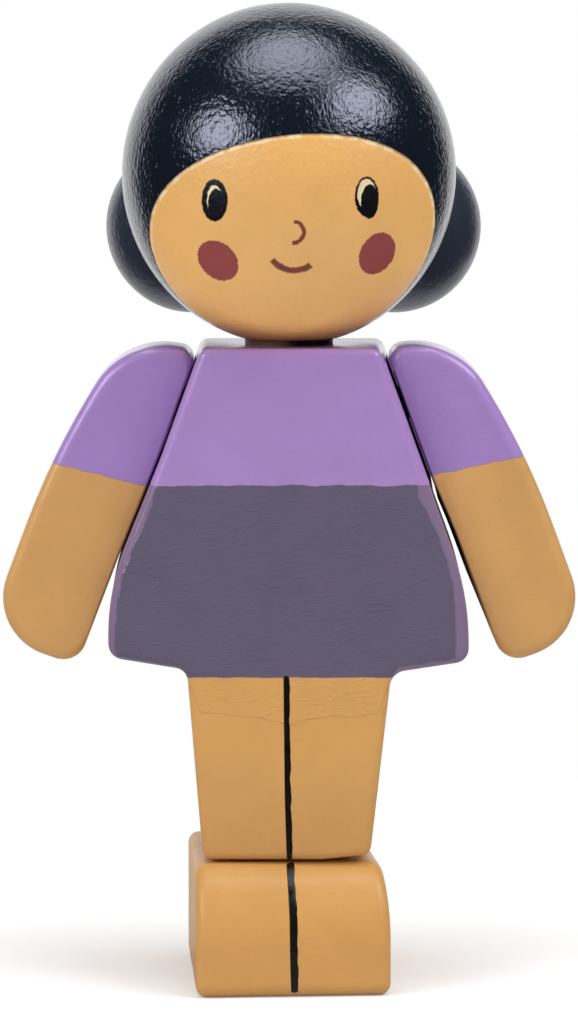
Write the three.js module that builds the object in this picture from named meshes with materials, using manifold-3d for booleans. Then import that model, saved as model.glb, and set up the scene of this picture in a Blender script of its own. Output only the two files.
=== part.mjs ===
// A painted wooden dollhouse figure, 100 mm tall. The head is a turned ball with two smaller
// balls behind it as hair buns. Torso and legs are one piece of board, the arms swing on pegs
// and both feet are one block. Millimetres, +Z up. The figure faces -Y and its own left arm is
// on +X. The origin is on the floor, below the neck and at the middle of the board.

import * as THREE from 'three';
import { mergeVertices } from 'three/addons/utils/BufferGeometryUtils.js';
import Module from 'manifold-3d';

// Fits between the pieces
const glueLine = 0.25;
const dowelPlay = 0.25;
const endPlay = 0.4;
const armGap = 0.45;
const neckGap = 0.55;

// Feet: one block with a rounded toe, glued on a few degrees out of square
const feetHeight = 13.1;
const toeWidth = 19.8;
const heelWidth = 18.7;
const toeReach = 13;
const heelReach = 12.6;
const toeCurveLength = 5.5;
const toeCurveHeight = 8.5;
const feetEdge = 1.1;
const feetTurn = 4.2;
const feetShift = -0.43;

// Torso and legs: one piece of board with a flared skirt
const boardThickness = 18;
const boardEdge = 1.3;
const boardCorner = 1.5;
const bodyHeight = 52;
const shoulderWidth = 18.6;
const sideSlope = 20;
const skirtWidth = 36.6;
const skirtRound = 28;
const dressLength = 31.4;
const hemSlope = 9;
const legTopWidth = 20.8;
const legEndWidth = 16.9;

// Arms, measured along and across their flat inner face
const armLength = 34.3;
const armWidth = 9.9;
const armThickness = 10;
const armEdge = 1.2;
const armDrop = 0.45;
const armCorner = 1.3;
const shoulderSlope = 12;
const shoulderRound = 8.5;
const shoulderTaper = 11.5;
const elbowFromTop = 15.1;
const elbowRound = 80;
const handOuterRound = 5.95;
const handInnerRound = 2.4;

// Head, a turned ball, and its hair buns
const headWidth = 34;
const headHeight = 34.8;
const bunWidth = 18.4;
const bunSeatWidth = 10;
const bunSpread = 27.3;
const bunDroop = 14.7;
const bunTurn = 1.3;

// Dowels and pegs, with how far each goes into the piece on either side
const neckDowel = { width: 9, below: 7, above: 14 };
const bunDowel = { width: 4, below: 6, above: 6 };
const shoulderPeg = { width: 3.5, below: 4.5, above: 5 };
const footDowel = { width: 4, below: 7, above: 9 };
const shoulderPegDrop = 6.5;
const footDowelSpacing = 8.5;
const dowelChamfer = 0.4;

// How finely round shapes are cut
const ballSides = 40;
const dowelSides = 24;
const arcSteps = 3;
const edgeSteps = 3;
const shortestStraight = 0.4;
const edgeShare = 0.9;

// Paint and wood
const hairBlack = { color: '#141c26', roughness: 0.3, metalness: 0 };
const dressPaint = { color: '#665d73', roughness: 0.5, metalness: 0 };
const sleevePaint = { color: '#9c7cb7', roughness: 0.5, metalness: 0 };
const skinPaint = { color: '#cd995c', roughness: 0.5, metalness: 0 };
const bareBeech = { color: '#c79a6b', roughness: 0.7, metalness: 0 };

const wasm = await Module();
wasm.setup();

const radians = THREE.MathUtils.degToRad;
const up = new THREE.Vector3(0, 0, 1);
const doll = new THREE.Group();

function addPiece(name, geometry, finish, parent = doll) {
  const mesh = new THREE.Mesh(geometry, new THREE.MeshStandardMaterial(finish));
  mesh.name = name;
  parent.add(mesh);
  return mesh;
}

// Holes and flats are cut by subtracting closed meshes
function toSolid(geometry) {
  const bare = geometry.clone();
  bare.deleteAttribute('normal');
  bare.deleteAttribute('uv');
  const merged = mergeVertices(bare, 1e-5);
  return new wasm.Manifold(new wasm.Mesh({
    numProp: 3,
    vertProperties: new Float32Array(merged.attributes.position.array),
    triVerts: new Uint32Array(merged.index.array),
  }));
}

function cutFrom(geometry, cutters) {
  let solid = toSolid(geometry);
  for (const cutter of cutters) {
    solid = solid.subtract(toSolid(cutter));
  }
  const { vertProperties, triVerts } = solid.getMesh();
  const result = new THREE.BufferGeometry();
  result.setAttribute('position', new THREE.BufferAttribute(vertProperties, 3));
  result.setIndex(new THREE.BufferAttribute(triVerts, 1));
  return result;
}

// A place on a piece with its own Z along a direction, used for dowels and for their holes
function placeAlong(point, direction) {
  const turn = new THREE.Quaternion().setFromUnitVectors(up, direction);
  return new THREE.Matrix4().compose(point, turn, new THREE.Vector3(1, 1, 1));
}

// A round rod along Z with chamfered ends, crossing Z = 0
function rod({ width, below, above }) {
  const radius = width / 2;
  const chamfer = Math.min(dowelChamfer, radius / 3);
  const profile = [
    [0, -below], [radius - chamfer, -below], [radius, chamfer - below],
    [radius, above - chamfer], [radius - chamfer, above], [0, above],
  ].map(([r, z]) => new THREE.Vector2(r, z));
  return new THREE.LatheGeometry(profile, dowelSides).rotateX(Math.PI / 2);
}

// The drill that makes a dowel's hole, from Z = -depth up past the surface at Z = 0
function drill(width, depth, clear = depth) {
  const radius = width / 2 + dowelPlay;
  const length = depth + endPlay + clear;
  return new THREE.CylinderGeometry(radius, radius, length, dowelSides)
    .rotateX(Math.PI / 2)
    .translate(0, 0, length / 2 - depth - endPlay);
}

// How far a corner's rounding may reach along an edge: half of it, or all that the corner at
// the edge's other end leaves
function roomAlong(edge, neighbour) {
  const free = edge.length() - shortestStraight;
  return Math.max(free / 2, free - neighbour.reach);
}

// A closed outline through corners [x, y, radius], each rounded as far as its edges allow
function roundedOutline(corners) {
  const spots = corners.map(([x, y, radius], index) => {
    const corner = new THREE.Vector2(x, y);
    const before = new THREE.Vector2(...corners.at(index - 1)).sub(corner);
    const after = new THREE.Vector2(...corners.at((index + 1) % corners.length)).sub(corner);
    const half = before.angleTo(after) / 2;
    return { corner, before, after, half, reach: radius / Math.tan(half) };
  });
  const shape = new THREE.Shape();
  const radii = spots.map(({ corner, before, after, half, reach }, index) => {
    const roomBefore = roomAlong(before, spots.at(index - 1));
    const roomAfter = roomAlong(after, spots.at((index + 1) % spots.length));
    const fitted = Math.min(reach, roomBefore, roomAfter);
    const radius = fitted * Math.tan(half);
    const inward = before.clone().normalize().add(after.clone().normalize());
    const middle = inward.setLength(radius / Math.sin(half)).add(corner);
    const start = before.clone().setLength(fitted).add(corner).sub(middle);
    const end = after.clone().setLength(fitted).add(corner).sub(middle);
    const clockwise = before.cross(after) > 0;
    shape.absarc(middle.x, middle.y, radius, start.angle(), end.angle(), clockwise);
    return radius;
  });
  return { shape, tightest: Math.min(...radii) };
}

// A piece sawn from board of a given thickness, lying in XY. Its edges are sanded round, to a
// radius a little under that of the outline's tightest corner at most.
function sawn({ shape, tightest }, thickness, edge) {
  const rounding = Math.min(edge, edgeShare * tightest);
  return new THREE.ExtrudeGeometry(shape, {
    depth: thickness - 2 * rounding,
    bevelThickness: rounding,
    bevelSize: rounding,
    bevelOffset: -rounding,
    bevelSegments: edgeSteps,
    curveSegments: arcSteps,
  }).translate(0, 0, rounding - thickness / 2);
}

// Feet block: its side outline is sawn, sanded narrower towards the heel, then drilled
const feetCorner = feetEdge / edgeShare;
const feetShape = new THREE.Shape();
feetShape.absarc(heelReach - feetCorner, feetCorner, feetCorner, -Math.PI / 2, 0);
feetShape.absarc(heelReach - feetCorner, feetHeight - feetCorner, feetCorner, 0, Math.PI / 2);
feetShape.absellipse(
  toeCurveLength - toeReach, feetHeight - toeCurveHeight,
  toeCurveLength, toeCurveHeight, Math.PI / 2, Math.PI,
);
feetShape.absarc(feetCorner - toeReach, feetCorner, feetCorner, Math.PI, 1.5 * Math.PI);
const feetOutline = { shape: feetShape, tightest: feetCorner };

const sideways = new THREE.Matrix4().makeBasis(
  new THREE.Vector3(0, 1, 0), new THREE.Vector3(0, 0, 1), new THREE.Vector3(1, 0, 0),
);
const feetBlank = sawn(feetOutline, toeWidth, feetEdge).applyMatrix4(sideways);
const feetPoints = feetBlank.attributes.position;
for (let i = 0; i < feetPoints.count; i += 1) {
  const alongFoot = (feetPoints.getY(i) + toeReach) / (toeReach + heelReach);
  const width = THREE.MathUtils.lerp(toeWidth, heelWidth, alongFoot);
  feetPoints.setX(i, feetPoints.getX(i) * width / toeWidth);
}

const feet = new THREE.Group();
feet.position.x = feetShift;
feet.rotation.z = radians(feetTurn);
feet.updateMatrix();
doll.add(feet);

const bodyBottom = feetHeight + glueLine;
const footDowelPlaces = [['left', 1], ['right', -1]].map(([side, sign]) => ({
  side,
  place: new THREE.Matrix4().makeTranslation(sign * footDowelSpacing / 2, 0, feetHeight),
}));
const feetUnturned = feet.matrix.clone().invert();
const ankleHoles = footDowelPlaces.map(({ place }) => (
  drill(footDowel.width, footDowel.below).applyMatrix4(place).applyMatrix4(feetUnturned)
));
addPiece('feet_block', cutFrom(feetBlank, ankleHoles), skinPaint, feet);

for (const { side, place } of footDowelPlaces) {
  const geometry = rod(footDowel).applyMatrix4(place);
  addPiece(`foot_dowel_${side}`, geometry, bareBeech);
}

// Torso and legs, outlined down the figure's left side and up its right
const torsoTop = bodyBottom + bodyHeight;
const slope = Math.tan(radians(sideSlope));
const skirtDepth = (skirtWidth - shoulderWidth) / 2 / slope;
const hemDrop = (skirtWidth - legTopWidth) / 2 * Math.tan(radians(hemSlope));
const halfOutline = [
  [shoulderWidth / 2, torsoTop, boardCorner],
  [skirtWidth / 2, torsoTop - skirtDepth, skirtRound],
  [skirtWidth / 2, torsoTop - dressLength, boardCorner],
  [legTopWidth / 2, torsoTop - dressLength - hemDrop, boardCorner],
  [legEndWidth / 2, bodyBottom, boardCorner],
];
const otherHalf = halfOutline.map(([x, z, radius]) => [-x, z, radius]).reverse();
const bodyOutline = roundedOutline([...halfOutline, ...otherHalf]);
const bodyBlank = sawn(bodyOutline, boardThickness, boardEdge).rotateX(Math.PI / 2);

const neckPlace = new THREE.Matrix4().makeTranslation(0, 0, torsoTop);
const neckHole = drill(neckDowel.width, neckDowel.below).applyMatrix4(neckPlace);
const legHoles = footDowelPlaces.map(({ place }) => (
  drill(footDowel.width, footDowel.above)
    .rotateX(Math.PI)
    .translate(0, 0, glueLine)
    .applyMatrix4(place)
));

// Arms hang on the sloping sides, each peg square to its side
const leftOutward = new THREE.Vector3(
  Math.cos(radians(sideSlope)), 0, Math.sin(radians(sideSlope)),
);
const leftDownward = new THREE.Vector3(
  Math.sin(radians(sideSlope)), 0, -Math.cos(radians(sideSlope)),
);
const leftSideTop = new THREE.Vector3(shoulderWidth / 2, 0, torsoTop);
const leftPegPoint = leftSideTop.clone().addScaledVector(leftDownward, shoulderPegDrop);
const leftArmTop = leftSideTop.clone()
  .addScaledVector(leftOutward, armGap)
  .addScaledVector(leftDownward, armDrop);

const topSlope = Math.tan(radians(shoulderSlope));
const taper = Math.tan(radians(shoulderTaper));
const shoulderReach = (armWidth - elbowFromTop * taper) / (1 - taper * topSlope);
const armOutline = roundedOutline([
  [0, 0, armCorner],
  [0, -armLength, handInnerRound],
  [armWidth, -armLength, handOuterRound],
  [armWidth, -elbowFromTop, elbowRound],
  [shoulderReach, -shoulderReach * topSlope, shoulderRound],
]);
const armBlank = sawn(armOutline, armThickness, armEdge).rotateX(Math.PI / 2);
const armPlace = new THREE.Matrix4()
  .makeBasis(leftOutward, new THREE.Vector3(0, 1, 0), leftDownward.clone().negate())
  .setPosition(leftArmTop);
armBlank.applyMatrix4(armPlace);

const pegPlace = placeAlong(leftPegPoint, leftOutward);
const pegInArm = shoulderPeg.above + armGap;
const armHole = drill(shoulderPeg.width, pegInArm, 0)
  .rotateX(Math.PI)
  .applyMatrix4(pegPlace);
const torsoPegHole = drill(shoulderPeg.width, shoulderPeg.below).applyMatrix4(pegPlace);
const leftArm = cutFrom(armBlank, [armHole]);
const leftPeg = rod({ ...shoulderPeg, above: pegInArm }).applyMatrix4(pegPlace);

// The right arm is the left one turned half round the neck's axis
const halfTurn = Math.PI;
addPiece('arm_left', leftArm, sleevePaint);
addPiece('arm_right', leftArm.clone().rotateZ(halfTurn), sleevePaint);
addPiece('shoulder_peg_left', leftPeg, bareBeech);
addPiece('shoulder_peg_right', leftPeg.clone().rotateZ(halfTurn), bareBeech);

const torsoHoles = [
  neckHole, ...legHoles, torsoPegHole, torsoPegHole.clone().rotateZ(halfTurn),
];
addPiece('torso_and_legs', cutFrom(bodyBlank, torsoHoles), dressPaint);

// Head: its neck hole's rim clears the torso by neckGap, and the dowel ends inside the ball
const headRadius = headWidth / 2;
const neckHoleRadius = neckDowel.width / 2 + dowelPlay;
const rimDrop = headHeight / 2 * Math.sqrt(1 - (neckHoleRadius / headRadius) ** 2);
const headCentre = new THREE.Vector3(0, 0, torsoTop + neckGap + rimDrop);
const headBall = new THREE.SphereGeometry(headRadius, ballSides, ballSides / 2)
  .rotateX(Math.PI / 2)
  .scale(1, 1, headHeight / headWidth)
  .translate(0, 0, headCentre.z);
const headNeckHole = drill(neckDowel.width, neckDowel.above, neckGap)
  .rotateX(Math.PI)
  .applyMatrix4(neckPlace);
addPiece('neck_dowel', rod(neckDowel).applyMatrix4(neckPlace), bareBeech);

// Each bun sits on a flat sanded on the head, with a flat of its own and a dowel through both
const bunRadius = bunWidth / 2;
const seatRadius = bunSeatWidth / 2;
const headToSeat = Math.sqrt(headRadius ** 2 - seatRadius ** 2) - glueLine / 2;
const seatToBun = Math.sqrt(bunRadius ** 2 - seatRadius ** 2);
const bunHoleRadius = bunDowel.width / 2 + dowelPlay;
const bunHoleTop = bunDowel.above + endPlay;
const flatAngle = Math.asin(seatRadius / bunRadius);
const bunProfile = [
  new THREE.Vector2(0, bunHoleTop),
  new THREE.Vector2(bunHoleRadius, bunHoleTop),
  new THREE.Vector2(bunHoleRadius, 0),
];
for (let step = 0; step <= ballSides / 2; step += 1) {
  const angle = THREE.MathUtils.lerp(flatAngle, Math.PI, step / (ballSides / 2));
  const width = step === ballSides / 2 ? 0 : bunRadius * Math.sin(angle);
  bunProfile.push(new THREE.Vector2(width, seatToBun - bunRadius * Math.cos(angle)));
}
const bunBall = new THREE.LatheGeometry(bunProfile, Math.round(0.7 * ballSides))
  .rotateX(Math.PI / 2);

const headCuts = [headNeckHole];
for (const [side, sign] of [['left', 1], ['right', -1]]) {
  const direction = new THREE.Vector3(0, 1, 0)
    .applyAxisAngle(new THREE.Vector3(1, 0, 0), -radians(bunDroop))
    .applyAxisAngle(up, -radians(sign * bunSpread + bunTurn));
  const seat = placeAlong(headCentre.clone().addScaledVector(direction, headToSeat), direction);
  const bunSeat = seat.clone().multiply(new THREE.Matrix4().makeTranslation(0, 0, glueLine));
  const flatCutter = new THREE.CylinderGeometry(bunRadius, bunRadius, bunRadius, dowelSides)
    .rotateX(Math.PI / 2)
    .translate(0, 0, bunRadius / 2);
  headCuts.push(flatCutter.applyMatrix4(seat));
  headCuts.push(drill(bunDowel.width, bunDowel.below).applyMatrix4(seat));
  addPiece(`hair_bun_${side}`, bunBall.clone().applyMatrix4(bunSeat), hairBlack);
  addPiece(`bun_dowel_${side}`, rod(bunDowel).applyMatrix4(seat), bareBeech);
}
addPiece('head', cutFrom(headBall, headCuts), hairBlack);

export default doll;
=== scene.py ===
import math

import bmesh
import bpy
from mathutils import Euler, Matrix, Vector


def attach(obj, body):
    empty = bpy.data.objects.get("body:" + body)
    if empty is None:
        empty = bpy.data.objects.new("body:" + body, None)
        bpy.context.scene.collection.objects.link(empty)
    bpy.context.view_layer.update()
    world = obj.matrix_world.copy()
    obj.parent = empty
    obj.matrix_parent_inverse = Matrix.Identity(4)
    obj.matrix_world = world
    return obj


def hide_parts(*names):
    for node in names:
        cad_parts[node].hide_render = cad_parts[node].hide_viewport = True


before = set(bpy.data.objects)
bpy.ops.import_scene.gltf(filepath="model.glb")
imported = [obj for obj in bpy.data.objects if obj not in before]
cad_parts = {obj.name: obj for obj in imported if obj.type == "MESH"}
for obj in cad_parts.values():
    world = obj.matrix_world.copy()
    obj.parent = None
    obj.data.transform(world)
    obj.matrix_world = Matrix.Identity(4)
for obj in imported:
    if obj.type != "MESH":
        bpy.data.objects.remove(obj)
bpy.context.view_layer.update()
scene = bpy.context.scene
scene.view_settings.view_transform = "Standard"
mm = 0.001


# Studio: a long lens half a metre away, level with the top of the head and looking slightly down.
# The figure stands on white paper, between two softboxes at the sides and one overhead. The room
# lights it evenly from all round, but to gloss only the wall behind the figure is bright.
def add_node(tree, kind, inputs=None, **settings):
    """Adds a node and returns its outputs. inputs gives each socket, by name or number, its value
    or the output that it takes."""
    node = tree.nodes.new(kind)
    for setting, value in settings.items():
        setattr(node, setting, value)
    for socket, value in (inputs or {}).items():
        if isinstance(value, bpy.types.NodeSocket):
            tree.links.new(value, node.inputs[socket])
        else:
            node.inputs[socket].default_value = value
    return node.outputs


camera_distance = 500 * mm
camera_height = 98 * mm
camera_tilt = 5.71
camera_lens = 172.2
camera_data = bpy.data.cameras.new("camera")
camera_data.lens = camera_lens
camera = bpy.data.objects.new("camera", camera_data)
camera.location = (0, -camera_distance, camera_height)
camera.rotation_euler = (math.radians(90 - camera_tilt), 0, 0)
scene.collection.objects.link(camera)
scene.camera = camera

# Azimuth from the camera's side towards its right, elevation, width and height in metres, and
# power in watts
softbox_distance = 600 * mm
softboxes = {
    "left": (-53, 27, 0.58, 0.42, 4.6),
    "right": (64, 44, 0.64, 0.46, 5.1),
    "overhead": (-2, 86, 0.78, 0.70, 6.4),
}
softbox_colour = (0.94, 0.965, 1.0)
bright_middle = 0.25
aim = Vector((0, 0, 60 * mm))
for side, (azimuth, elevation, width, height, power) in softboxes.items():
    lamp_data = bpy.data.lights.new(f"softbox_{side}", "AREA")
    lamp_data.shape = "RECTANGLE"
    lamp_data.size = width
    lamp_data.size_y = height
    lamp_data.energy = power
    lamp_data.color = softbox_colour
    # Its cloth is bright in the middle and fades towards the rim
    lamp_data.use_nodes = True
    cloth = lamp_data.node_tree
    on_cloth = add_node(cloth, "ShaderNodeNewGeometry")["Parametric"]
    off_middle = add_node(
        cloth, "ShaderNodeVectorMath", {0: on_cloth, 1: (0.5, 0.5, 0)}, operation="SUBTRACT",
    )[0]
    level = add_node(cloth, "ShaderNodeVectorMath", {0: off_middle, 1: (2, 2, 0)}, operation="MULTIPLY")[0]
    from_middle = add_node(cloth, "ShaderNodeVectorMath", {0: level}, operation="LENGTH")["Value"]
    lit_cloth = add_node(cloth, "ShaderNodeMapRange", {
        "Value": from_middle, "From Min": bright_middle, "From Max": 1.0, "To Min": 1.0, "To Max": 0.0,
    }, interpolation_type="SMOOTHSTEP")["Result"]
    cloth.links.new(lit_cloth, cloth.nodes["Emission"].inputs["Strength"])
    lamp = bpy.data.objects.new(lamp_data.name, lamp_data)
    sideways_turn = Matrix.Rotation(math.radians(azimuth), 3, "Z")
    upward_turn = Matrix.Rotation(math.radians(-elevation), 3, "X")
    lamp.location = aim + sideways_turn @ upward_turn @ Vector((0, -softbox_distance, 0))
    lamp.rotation_euler = (aim - lamp.location).to_track_quat("-Z", "Y").to_euler()
    scene.collection.objects.link(lamp)

room = bpy.data.worlds.new("white_room")
room.use_nodes = True
room.cycles.sampling_method = "NONE"
scene.world = room
room_tree = room.node_tree
room_tree.nodes.clear()
# How bright the room is to matt paint and, away from its back wall, to gloss
ambient = 0.6
dark_end = 0.02
# Where the back wall starts and is full, as a cosine from straight behind the figure. It starts
# further in on the right.
wall_start = 0.61
wall_full = 0.72
right_narrowing = 0.2
ray = add_node(room_tree, "ShaderNodeLightPath")
towards = add_node(room_tree, "ShaderNodeTexCoord")["Generated"]
heading = add_node(room_tree, "ShaderNodeSeparateXYZ", {"Vector": towards})
right_side = add_node(room_tree, "ShaderNodeMath", {0: heading["X"], 1: 0.0}, operation="MAXIMUM")[0]
end_wall = add_node(room_tree, "ShaderNodeMath", {
    0: right_side, 1: -right_narrowing, 2: heading["Y"],
}, operation="MULTIPLY_ADD")[0]
wall = add_node(room_tree, "ShaderNodeMapRange", {
    "Value": end_wall, "From Min": wall_start, "From Max": wall_full, "To Min": dark_end, "To Max": 1.0,
})["Result"]
lit = add_node(room_tree, "ShaderNodeMix", {"Factor": ray["Is Glossy Ray"], "A": ambient, "B": wall})[0]
seen = add_node(room_tree, "ShaderNodeMix", {"Factor": ray["Is Camera Ray"], "A": lit, "B": 1.0})[0]
walls = add_node(room_tree, "ShaderNodeBackground", {"Color": (1, 1, 1, 1), "Strength": seen})[0]
add_node(room_tree, "ShaderNodeOutputWorld", {"Surface": walls})


def linear(hex_colour):
    """An sRGB hex colour as the linear values that a socket takes."""
    channels = [int(hex_colour[i:i + 2], 16) / 255 for i in (1, 3, 5)]
    return (*[c / 12.92 if c <= 0.04045 else ((c + 0.055) / 1.055) ** 2.4 for c in channels], 1)


# White paper: matt, with a soft shadow round the feet that fades to plain white
floor_reach = 200 * mm
floor_lift = 0.2
shadow_reach = (55 * mm, 150 * mm)
# To gloss, the paper is lit behind the figure, from one sine of the direction to another, and a
# little round the feet
lit_behind = (0.5, 0.8)
behind_strength = 0.7
lit_round_feet = (20 * mm, 80 * mm)
feet_strength = 0.3
floor_mesh = bpy.data.meshes.new("floor")
floor_mesh.from_pydata(
    [(x * floor_reach, y * floor_reach, 0) for x, y in ((-1, -1), (1, -1), (1, 1), (-1, 1))],
    [], [(0, 1, 2, 3)],
)
floor = bpy.data.objects.new("floor", floor_mesh)
scene.collection.objects.link(floor)
paper = bpy.data.materials.new("white_paper")
paper.use_nodes = True
paper_tree = paper.node_tree
paper_tree.nodes.clear()
paper_ray = add_node(paper_tree, "ShaderNodeLightPath")
spot = add_node(paper_tree, "ShaderNodeTexCoord")["Object"]
lift = add_node(
    paper_tree, "ShaderNodeMath", {0: paper_ray["Is Camera Ray"], 1: floor_lift}, operation="MULTIPLY",
)[0]
glow = add_node(paper_tree, "ShaderNodeEmission", {"Color": (1, 1, 1, 1), "Strength": lift})[0]
matt = add_node(paper_tree, "ShaderNodeBsdfDiffuse", {"Color": linear("#dedcda")})[0]
near = add_node(paper_tree, "ShaderNodeAddShader", {0: matt, 1: glow})[0]
away = add_node(paper_tree, "ShaderNodeVectorMath", {0: spot}, operation="LENGTH")["Value"]
fade = add_node(paper_tree, "ShaderNodeMapRange", {
    "Value": away, "From Min": shadow_reach[0], "From Max": shadow_reach[1], "To Min": 0.0, "To Max": 1.0,
}, interpolation_type="SMOOTHSTEP")["Result"]
far = add_node(
    paper_tree, "ShaderNodeMath", {0: fade, 1: paper_ray["Is Camera Ray"]}, operation="MULTIPLY",
)[0]
white = add_node(paper_tree, "ShaderNodeEmission", {"Color": (1, 1, 1, 1), "Strength": 1.0})[0]
seen_floor = add_node(paper_tree, "ShaderNodeMixShader", {0: far, 1: near, 2: white})[0]
beside = add_node(paper_tree, "ShaderNodeVectorMath", {0: spot}, operation="NORMALIZE")[0]
behind = add_node(paper_tree, "ShaderNodeSeparateXYZ", {0: beside})["Y"]
at_back = add_node(paper_tree, "ShaderNodeMapRange", {
    "Value": behind, "From Min": lit_behind[0], "From Max": lit_behind[1],
    "To Min": dark_end, "To Max": behind_strength,
})["Result"]
at_foot = add_node(paper_tree, "ShaderNodeMapRange", {
    "Value": away, "From Min": lit_round_feet[0], "From Max": lit_round_feet[1],
    "To Min": feet_strength, "To Max": 0.0,
}, interpolation_type="SMOOTHSTEP")["Result"]
mirrored = add_node(paper_tree, "ShaderNodeMath", {0: at_back, 1: at_foot}, operation="MAXIMUM")[0]
sheen = add_node(paper_tree, "ShaderNodeEmission", {"Color": (1, 1, 1, 1), "Strength": mirrored})[0]
paper_surface = add_node(
    paper_tree, "ShaderNodeMixShader", {0: paper_ray["Is Glossy Ray"], 1: seen_floor, 2: sheen},
)[0]
add_node(paper_tree, "ShaderNodeOutputMaterial", {"Surface": paper_surface})
floor_mesh.materials.append(paper)


# Feet: one beech block for both feet, with a rounded toe. It is sawn to its side outline, sanded
# narrower towards the heel, painted skin colour and glued on a few degrees out of square.
def new_rule(name, sockets, made):
    """A geometry tree with named inputs, and its input sockets."""
    tree = bpy.data.node_groups.new(name, "GeometryNodeTree")
    for socket, kind in sockets.items():
        tree.interface.new_socket(socket, in_out="INPUT", socket_type=f"NodeSocket{kind}")
    tree.interface.new_socket(made, in_out="OUTPUT", socket_type="NodeSocketGeometry")
    return tree, add_node(tree, "NodeGroupInput")


def finish_rule(tree, shape, paint):
    """Ends a tree: smooth faces, the paint, and real faces only."""
    smooth = add_node(tree, "GeometryNodeSetShadeSmooth", {"Geometry": shape})[0]
    painted = add_node(tree, "GeometryNodeSetMaterial", {"Geometry": smooth, "Material": paint})[0]
    real = add_node(tree, "GeometryNodeRealizeInstances", {"Geometry": painted})[0]
    add_node(tree, "NodeGroupOutput", {0: real})


def make_piece(name, blank, tree, place=Matrix(), **sizes):
    """Runs a tree on a blank mesh, and leaves the result as a plain mesh moved to its place."""
    piece = bpy.data.objects.new(name, blank)
    scene.collection.objects.link(piece)
    work = piece.modifiers.new(tree.name, "NODES")
    work.node_group = tree
    for socket in tree.interface.items_tree:
        if socket.name in sizes:
            work[socket.identifier] = sizes[socket.name]
    evaluated = piece.evaluated_get(bpy.context.evaluated_depsgraph_get())
    finished = bpy.data.meshes.new_from_object(evaluated)
    piece.modifiers.clear()
    finished.transform(place)
    outward = bmesh.new()
    outward.from_mesh(finished)
    bmesh.ops.recalc_face_normals(outward, faces=outward.faces)
    outward.to_mesh(finished)
    outward.free()
    piece.data = finished
    return piece


def outline_blank(name, corners):
    """A closed outline in XY. Each corner is x, y and its rounding, in millimetres."""
    blank = bpy.data.meshes.new(name)
    count = len(corners)
    blank.from_pydata(
        [(x * mm, y * mm, 0) for x, y, rounding in corners],
        [(i, (i + 1) % count) for i in range(count)], [],
    )
    roundings = blank.attributes.new("rounding", "FLOAT", "POINT")
    roundings.data.foreach_set("value", [rounding * mm for x, y, rounding in corners])
    return blank


# The rule for every piece sawn from board: corners are rounded, the saw wanders a little, and the
# edges are sanded round. The board lies in XY, with its middle at Z = 0.
board_rule, given = new_rule("sawn_board", {
    "Outline": "Geometry", "Thickness": "Float", "Edge": "Float", "Wander": "Float",
    "Seed": "Float", "Paint": "Material",
}, "Board")
flat_margin = 0.12 * mm
merge_distance = 0.001 * mm
corner_steps = 16
edge_steps = 9
point_spacing = 0.3 * mm
wander_length = 9 * mm
corners = add_node(board_rule, "GeometryNodeMeshToCurve", {"Mesh": given["Outline"]})[0]
rounding = add_node(board_rule, "GeometryNodeInputNamedAttribute", {"Name": "rounding"})["Attribute"]
rounded = add_node(
    board_rule, "GeometryNodeFilletCurve",
    {"Curve": corners, "Count": corner_steps, "Radius": rounding, "Limit Radius": True}, mode="POLY",
)[0]
spaced = add_node(
    board_rule, "GeometryNodeResampleCurve", {"Curve": rounded, "Length": point_spacing}, mode="LENGTH",
)[0]
spot = add_node(board_rule, "GeometryNodeInputPosition")[0]
drift = add_node(
    board_rule, "ShaderNodeTexNoise",
    {"Vector": spot, "W": given["Seed"], "Scale": 1 / wander_length, "Detail": 1.0}, noise_dimensions="4D",
)["Color"]
centred = add_node(
    board_rule, "ShaderNodeVectorMath", {0: drift, 1: (0.5, 0.5, 0.5)}, operation="SUBTRACT",
)[0]
level = add_node(board_rule, "ShaderNodeVectorMath", {0: centred, 1: (1, 1, 0)}, operation="MULTIPLY")[0]
shift = add_node(
    board_rule, "ShaderNodeVectorMath", {0: level, "Scale": given["Wander"]}, operation="SCALE",
)[0]
sawn = add_node(board_rule, "GeometryNodeSetPosition", {"Geometry": spaced, "Offset": shift})[0]
path = add_node(board_rule, "GeometryNodeSetCurveNormal", {"Curve": sawn}, mode="Z_UP")[0]
inward = add_node(
    board_rule, "ShaderNodeMath", {0: given["Edge"], 1: -1.0, 2: -flat_margin}, operation="MULTIPLY_ADD",
)[0]
top = add_node(board_rule, "ShaderNodeMath", {0: given["Thickness"], 1: 0.5}, operation="MULTIPLY")[0]
bottom = add_node(board_rule, "ShaderNodeMath", {0: given["Thickness"], 1: -0.5}, operation="MULTIPLY")[0]
side_points = [
    add_node(board_rule, "ShaderNodeCombineXYZ", {"X": x, "Y": y})[0]
    for x, y in ((inward, top), (0.0, top), (0.0, bottom), (inward, bottom))
]
side = add_node(
    board_rule, "GeometryNodeCurvePrimitiveQuadrilateral",
    {f"Point {i + 1}": point for i, point in enumerate(side_points)}, mode="POINTS",
)[0]
open_side = add_node(board_rule, "GeometryNodeSetSplineCyclic", {"Geometry": side, "Cyclic": False})[0]
sanded = add_node(
    board_rule, "GeometryNodeFilletCurve",
    {"Curve": open_side, "Count": edge_steps, "Radius": given["Edge"]}, mode="POLY",
)[0]
rim = add_node(board_rule, "GeometryNodeCurveToMesh", {"Curve": path, "Profile Curve": sanded})[0]
neighbours = add_node(board_rule, "GeometryNodeInputMeshEdgeNeighbors")[0]
loose = add_node(
    board_rule, "FunctionNodeCompare", {2: neighbours, 3: 1}, data_type="INT", operation="EQUAL",
)[0]
height = add_node(board_rule, "ShaderNodeSeparateXYZ", {0: spot})["Z"]
above = add_node(
    board_rule, "FunctionNodeCompare", {0: height, 1: 0.0}, data_type="FLOAT", operation="GREATER_THAN",
)[0]
upper_edge = add_node(board_rule, "FunctionNodeBooleanMath", {0: loose, 1: above}, operation="AND")[0]
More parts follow.
